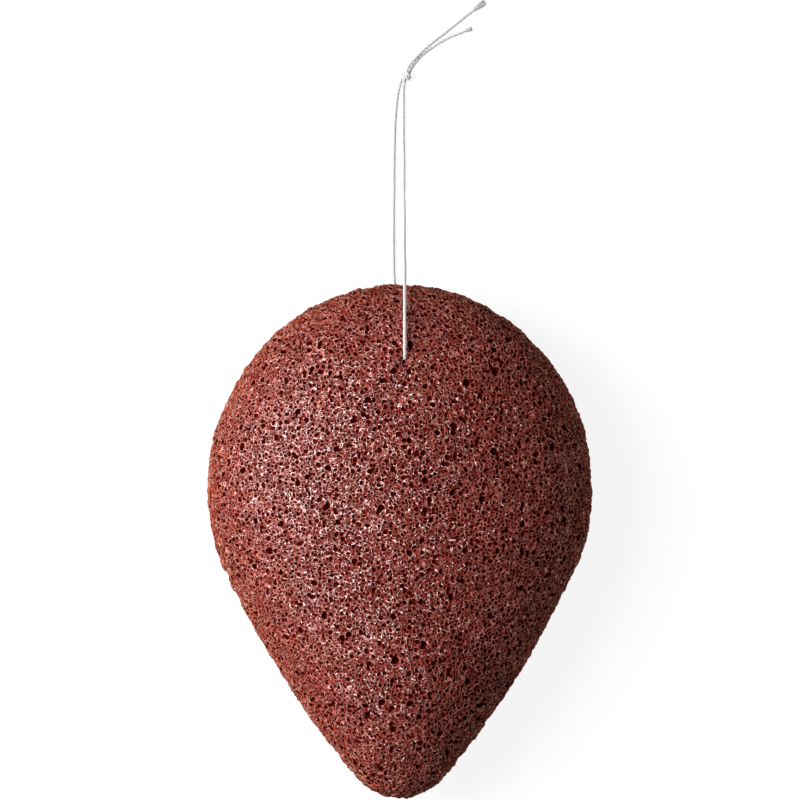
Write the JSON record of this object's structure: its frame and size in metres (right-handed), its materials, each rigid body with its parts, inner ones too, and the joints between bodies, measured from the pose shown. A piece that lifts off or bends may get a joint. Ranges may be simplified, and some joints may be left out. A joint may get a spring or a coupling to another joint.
{
  "type": "konjac sponge",
  "caption": "Teardrop facial sponge of open-cell vegetable foam with a domed front, a flat resting back and a knotted cotton hanging thread through a needle hole.",
  "frame": {"origin": "under the middle of the sponge, on the surface that its flat back rests on", "axes": "+Z out of the domed front, +Y towards the round end with the thread, +X to the right seen from the front"},
  "size_m": [0.08, 0.1648, 0.035],
  "materials": {
    "konjac_foam": "open-cell vegetable foam with glossy thin cell walls, red clay colour",
    "cotton_thread": "twisted white cotton thread"
  },
  "bodies": {
    "sponge": {"sponge_body": "konjac_foam"},
    "loop": {"string_through": "cotton_thread", "string_front": "cotton_thread", "string_rear": "cotton_thread", "knot": "cotton_thread", "tail_long": "cotton_thread", "tail_short": "cotton_thread"}
  },
  "joints": [
    {"name": "loop_swing", "type": "hinge", "parent": "sponge", "child": "loop", "pos_m": [0.001, 0.03785, 0.015], "axis": [0, 0, 1], "range_deg": [-25, 25]}
  ]
}
